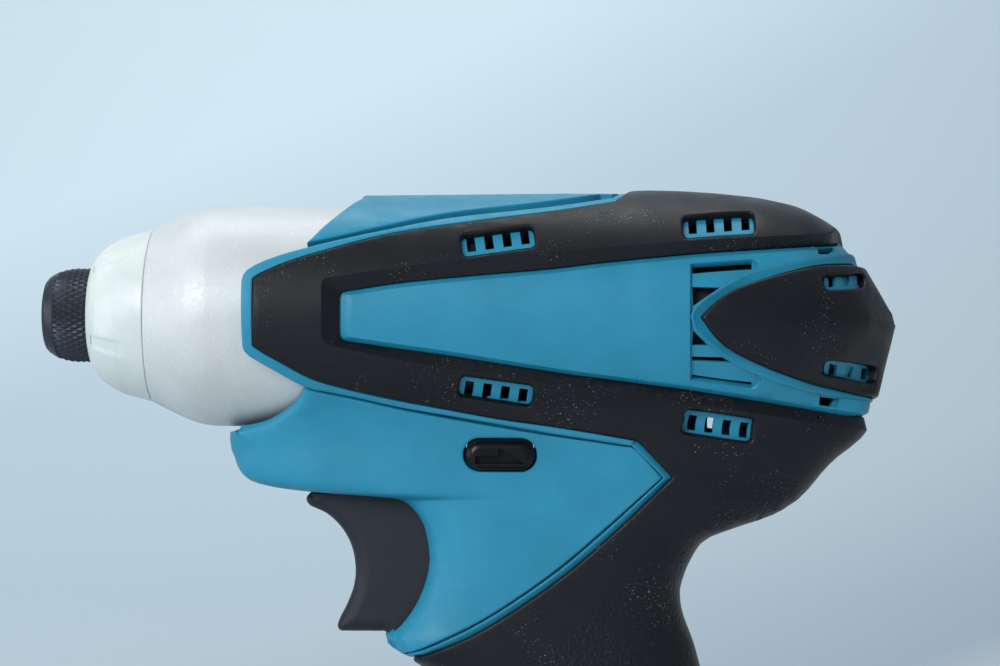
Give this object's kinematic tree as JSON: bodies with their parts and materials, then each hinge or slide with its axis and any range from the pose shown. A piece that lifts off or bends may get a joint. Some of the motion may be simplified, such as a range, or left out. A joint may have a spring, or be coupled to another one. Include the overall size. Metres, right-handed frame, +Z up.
{
  "type": "cordless impact driver",
  "caption": "Cordless impact driver with a quarter inch bit holder, hammer case with rubber bumper, sprung trigger and a battery that slides into the grip.",
  "frame": {"origin": "centre of the battery's base face, on the surface the tool stands on", "axes": "+Z up, -X towards the bit holder, +Y to the tool's right side as its user holds it"},
  "size_m": [0.1551, 0.0558, 0.1782],
  "materials": {
    "shell_teal": "satin",
    "soft_skin": "matte",
    "bare_case": "satin",
    "bumper_rubber": "milky satin",
    "black_steel": "blackened",
    "steel": "machined",
    "bright_steel": "polished",
    "bronze": "sintered",
    "dark_plastic": "satin",
    "white_plastic": "satin",
    "magnet": "matte",
    "copper": "enamelled",
    "carbon": "matte",
    "lens": "clear",
    "board": "satin",
    "cell": "sleeved",
    "black_gloss": "gloss"
  },
  "bodies": {
    "housing": {"housing_left": "shell_teal", "housing_right": "shell_teal", "grip_skin_left": "soft_skin", "grip_skin_right": "soft_skin", "tail_pad_left": "soft_skin", "tail_pad_right": "soft_skin", "housing_screws": "black_steel", "hammer_case": "bare_case", "bumper": "bumper_rubber", "anvil_bush": "bronze", "thrust_washer": "white_plastic", "ring_gear": "steel", "bearing_box": "dark_plastic", "bearing_outer_race": "bright_steel", "bearing_balls_set": "bright_steel", "motor_can": "steel", "motor_magnets": "magnet", "motor_end_bell": "dark_plastic", "motor_bushes": "bronze", "carbon_brushes": "carbon", "switch_body": "dark_plastic", "work_light_lens": "lens", "work_light_board": "board", "terminal_block": "dark_plastic", "terminal_blades": "bronze", "trigger_spring": "steel"},
    "anvil": {"anvil": "steel", "bit_balls": "bright_steel", "retaining_ring": "bright_steel", "sleeve_washer": "steel", "sleeve_spring": "steel"},
    "sleeve": {"sleeve": "black_steel"},
    "spindle": {"spindle": "steel", "planet_pins": "bright_steel", "cam_balls": "bright_steel", "spring_washer": "steel", "hammer_spring": "steel", "bearing_inner_race": "bright_steel"},
    "hammer": {"hammer": "steel"},
    "planet_1": {"planet_gear_1": "steel"},
    "planet_2": {"planet_gear_2": "steel"},
    "planet_3": {"planet_gear_3": "steel"},
    "rotor": {"armature_shaft": "bright_steel", "armature_core": "steel", "armature_windings": "copper", "commutator": "copper", "motor_fan": "dark_plastic", "pinion": "bright_steel"},
    "trigger": {"trigger": "dark_plastic", "switch_plunger": "white_plastic"},
    "lever": {"reversing_lever": "black_gloss"},
    "battery": {"battery_case": "dark_plastic", "battery_base": "dark_plastic", "battery_cells": "cell", "battery_contacts": "bronze", "battery_board": "board", "battery_button_springs": "steel", "battery_screws": "black_steel"},
    "button_left": {"battery_button_left": "dark_plastic"},
    "button_right": {"battery_button_right": "dark_plastic"}
  },
  "joints": [
    {"name": "spindle_spin", "type": "hinge", "parent": "housing", "child": "spindle", "pos_m": [-0.0375, 0, 0.155], "axis": [1, 0, 0], "continuous": true},
    {"name": "anvil_spin", "type": "hinge", "parent": "housing", "child": "anvil", "pos_m": [-0.07465, 0, 0.155], "axis": [1, 0, 0], "continuous": true},
    {"name": "rotor_spin", "type": "hinge", "parent": "housing", "child": "rotor", "pos_m": [-0.01608, 0, 0.155], "axis": [1, 0, 0], "continuous": true},
    {"name": "hammer_slide", "type": "slide", "parent": "spindle", "child": "hammer", "axis": [1, 0, 0], "range_m": [0, 0.0075], "stiffness_N_per_m": 2000, "springref_m": -0.002, "deforming": ["hammer_spring"]},
    {"name": "planet_1_spin", "type": "hinge", "parent": "spindle", "child": "planet_1", "pos_m": [-0.0306, 0, 0.164], "axis": [1, 0, 0], "continuous": true},
    {"name": "planet_2_spin", "type": "hinge", "parent": "spindle", "child": "planet_2", "pos_m": [-0.0306, -0.00779, 0.1505], "axis": [1, 0, 0], "continuous": true},
    {"name": "planet_3_spin", "type": "hinge", "parent": "spindle", "child": "planet_3", "pos_m": [-0.0306, 0.00779, 0.1505], "axis": [1, 0, 0], "continuous": true},
    {"name": "sleeve_slide", "type": "slide", "parent": "anvil", "child": "sleeve", "axis": [-1, 0, 0], "range_m": [0, 0.0036], "stiffness_N_per_m": 600, "springref_m": -0.002, "deforming": ["sleeve_spring"]},
    {"name": "trigger_pull", "type": "slide", "parent": "housing", "child": "trigger", "axis": [1, 0, 0], "range_m": [0, 0.006], "stiffness_N_per_m": 800, "springref_m": -0.003, "deforming": ["trigger_spring"]},
    {"name": "reversing_slide", "type": "slide", "parent": "housing", "child": "lever", "axis": [0, 1, 0], "range_m": [-0.0024, 0.0024]},
    {"name": "battery_slide", "type": "slide", "parent": "housing", "child": "battery", "axis": [0.2079, 0, -0.9781], "range_m": [0, 0.08]},
    {"name": "button_left_push", "type": "slide", "parent": "battery", "child": "button_left", "axis": [0, 1, 0], "range_m": [0, 0.0025], "stiffness_N_per_m": 800, "springref_m": -0.002, "deforming": ["battery_button_springs"]},
    {"name": "button_right_push", "type": "slide", "parent": "battery", "child": "button_right", "axis": [0, -1, 0], "range_m": [0, 0.0025], "stiffness_N_per_m": 800, "springref_m": -0.002, "deforming": ["battery_button_springs"]}
  ],
  "couplings": [
    {"joint": "rotor_spin", "follows": "spindle_spin", "ratio": 7.5},
    {"joint": "anvil_spin", "follows": "spindle_spin", "ratio": 1},
    {"joint": "planet_1_spin", "follows": "spindle_spin", "ratio": -2.3636},
    {"joint": "planet_2_spin", "follows": "spindle_spin", "ratio": -2.3636},
    {"joint": "planet_3_spin", "follows": "spindle_spin", "ratio": -2.3636}
  ]
}
